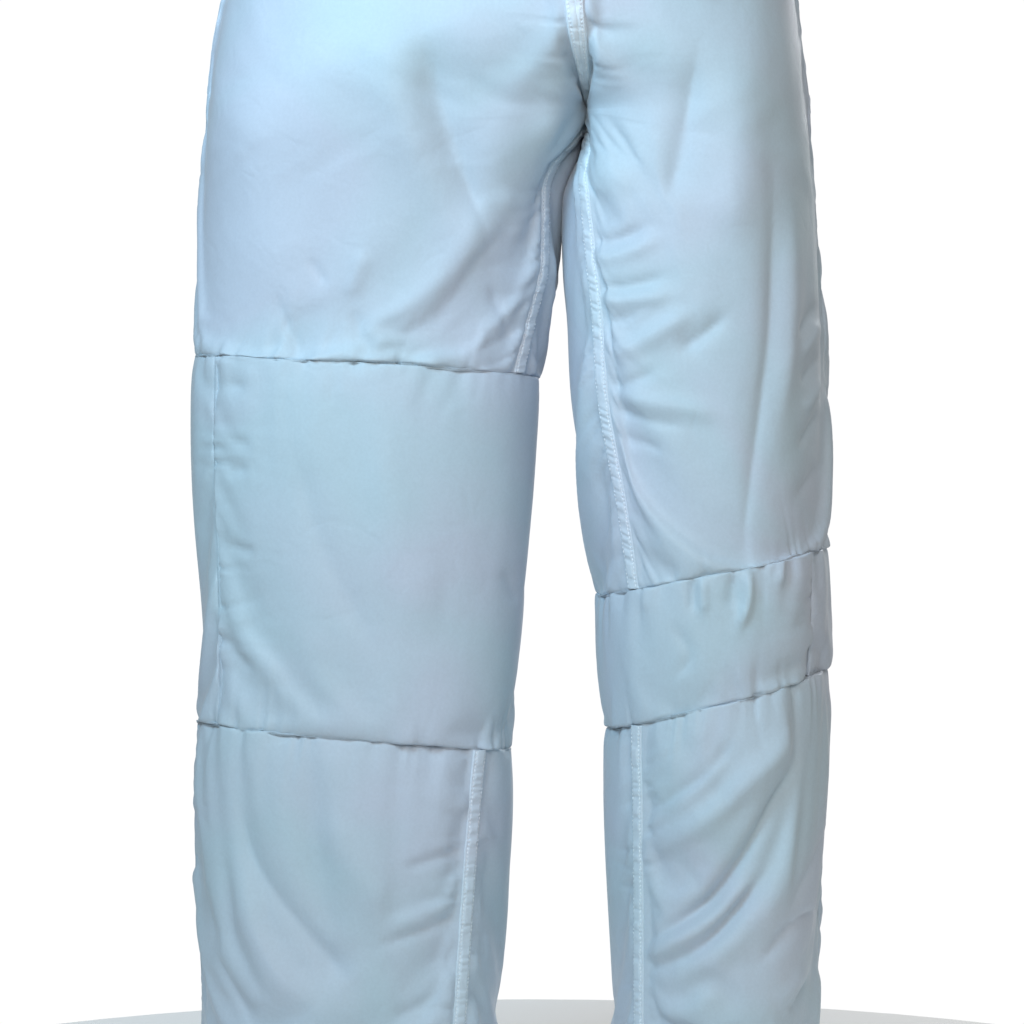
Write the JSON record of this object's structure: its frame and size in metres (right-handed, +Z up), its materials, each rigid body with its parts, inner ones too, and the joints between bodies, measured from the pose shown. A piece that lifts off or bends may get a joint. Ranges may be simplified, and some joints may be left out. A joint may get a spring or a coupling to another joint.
{
  "type": "ski pants",
  "caption": "Insulated ski pants with sewn-in knee sections, felled inseams, zip fly, hip pockets and snow gaiters.",
  "frame": {"origin": "centre of the waist opening, level with the waistband's top edge", "axes": "+Z up the body, -Y towards the wearer's front, +X towards the wearer's left"},
  "size_m": [0.51, 0.2848, 1.0473],
  "materials": {
    "shell_fabric": "satin nylon, fine plain weave",
    "seam_band": "double-stitched folded nylon",
    "lining_fabric": "matte taffeta quilted to wadding",
    "gaiter_fabric": "coated taffeta",
    "elastic": "ribbed knitted elastic",
    "zip_tape": "woven tape",
    "zip_chain": "moulded coil",
    "zip_metal": "satin nickel"
  },
  "bodies": {
    "seat_and_thighs": {"right_front_panel": "shell_fabric", "right_back_panel": "shell_fabric", "right_knee_front": "shell_fabric", "right_knee_back": "shell_fabric", "right_waistband": "shell_fabric", "right_thigh_quilted_lining": "lining_fabric", "right_knee_quilted_lining": "lining_fabric", "right_waistband_facing": "lining_fabric", "right_pocket_bag": "lining_fabric", "right_thigh_inseam_band": "seam_band", "right_pocket_zip_chain": "zip_chain", "fly_zip_tape_right": "zip_tape", "left_front_panel": "shell_fabric", "left_back_panel": "shell_fabric", "left_knee_front": "shell_fabric", "left_knee_back": "shell_fabric", "left_waistband": "shell_fabric", "left_thigh_quilted_lining": "lining_fabric", "left_knee_quilted_lining": "lining_fabric", "left_waistband_facing": "lining_fabric", "left_pocket_bag": "lining_fabric", "left_thigh_inseam_band": "seam_band", "left_pocket_zip_chain": "zip_chain", "fly_zip_tape_left": "zip_tape", "centre_front_seam_band": "seam_band", "centre_back_seam_band": "seam_band", "fly_zip_chain": "zip_chain", "fly_zip_bottom_stop": "zip_metal", "waist_snap_stud": "zip_metal", "belt_loop_front_right": "seam_band", "belt_loop_front_left": "seam_band", "belt_loop_back_right": "seam_band", "belt_loop_back_centre": "seam_band", "belt_loop_back_left": "seam_band"},
    "right_lower_leg": {"right_shin_panel": "shell_fabric", "right_calf_panel": "shell_fabric", "right_shin_quilted_lining": "lining_fabric", "right_hem": "shell_fabric", "right_snow_gaiter": "gaiter_fabric", "right_gaiter_elastic": "elastic", "right_shin_inseam_band": "seam_band"},
    "left_lower_leg": {"left_shin_panel": "shell_fabric", "left_calf_panel": "shell_fabric", "left_shin_quilted_lining": "lining_fabric", "left_hem": "shell_fabric", "left_snow_gaiter": "gaiter_fabric", "left_gaiter_elastic": "elastic", "left_shin_inseam_band": "seam_band"},
    "waist_tab": {"waist_tab": "shell_fabric", "waist_snap_cap": "zip_metal"},
    "fly_slider": {"fly_zip_slider": "zip_metal"},
    "fly_pull": {"fly_zip_pull": "zip_metal"},
    "right_pocket_slider": {"right_pocket_zip_slider": "zip_metal"},
    "right_pocket_pull": {"right_pocket_zip_pull": "zip_metal"},
    "left_pocket_slider": {"left_pocket_zip_slider": "zip_metal"},
    "left_pocket_pull": {"left_pocket_zip_pull": "zip_metal"}
  },
  "joints": [
    {"name": "right_knee_bend", "type": "hinge", "parent": "seat_and_thighs", "child": "right_lower_leg", "pos_m": [-0.134, -0.01, -0.62], "axis": [1, 0, 0], "range_deg": [0, 60], "deforming": ["right_knee_front", "right_knee_back", "right_knee_quilted_lining"]},
    {"name": "left_knee_bend", "type": "hinge", "parent": "seat_and_thighs", "child": "left_lower_leg", "pos_m": [0.149, -0.01, -0.69], "axis": [1, 0, 0], "range_deg": [0, 60], "deforming": ["left_knee_front", "left_knee_back", "left_knee_quilted_lining"]},
    {"name": "waist_tab_open", "type": "hinge", "parent": "seat_and_thighs", "child": "waist_tab", "pos_m": [-0.0113, -0.0997, -0.018], "axis": [0.0762, -0.19, -0.9788], "range_deg": [0, 110]},
    {"name": "fly_zip", "type": "slide", "parent": "seat_and_thighs", "child": "fly_slider", "axis": [0.0761, -0.1903, -0.9788], "range_m": [0, 0.1]},
    {"name": "fly_pull_swing", "type": "hinge", "parent": "fly_slider", "child": "fly_pull", "pos_m": [0.02593, -0.10795, -0.04408], "axis": [-0.997, 0, -0.0775], "range_deg": [0, 140]},
    {"name": "right_pocket_zip", "type": "slide", "parent": "seat_and_thighs", "child": "right_pocket_slider", "axis": [-0.2055, -0.1602, -0.9654], "range_m": [0, 0.1]},
    {"name": "right_pocket_pull_swing", "type": "hinge", "parent": "right_pocket_slider", "child": "right_pocket_pull", "pos_m": [-0.10993, -0.09542, -0.05052], "axis": [-0.9397, 0.3079, 0.1489], "range_deg": [0, 140]},
    {"name": "left_pocket_zip", "type": "slide", "parent": "seat_and_thighs", "child": "left_pocket_slider", "axis": [0.12, -0.1626, -0.9794], "range_m": [0, 0.1]},
    {"name": "left_pocket_pull_swing", "type": "hinge", "parent": "left_pocket_slider", "child": "left_pocket_pull", "pos_m": [0.1253, -0.09526, -0.0507], "axis": [-0.923, -0.3817, -0.0498], "range_deg": [0, 140]}
  ]
}
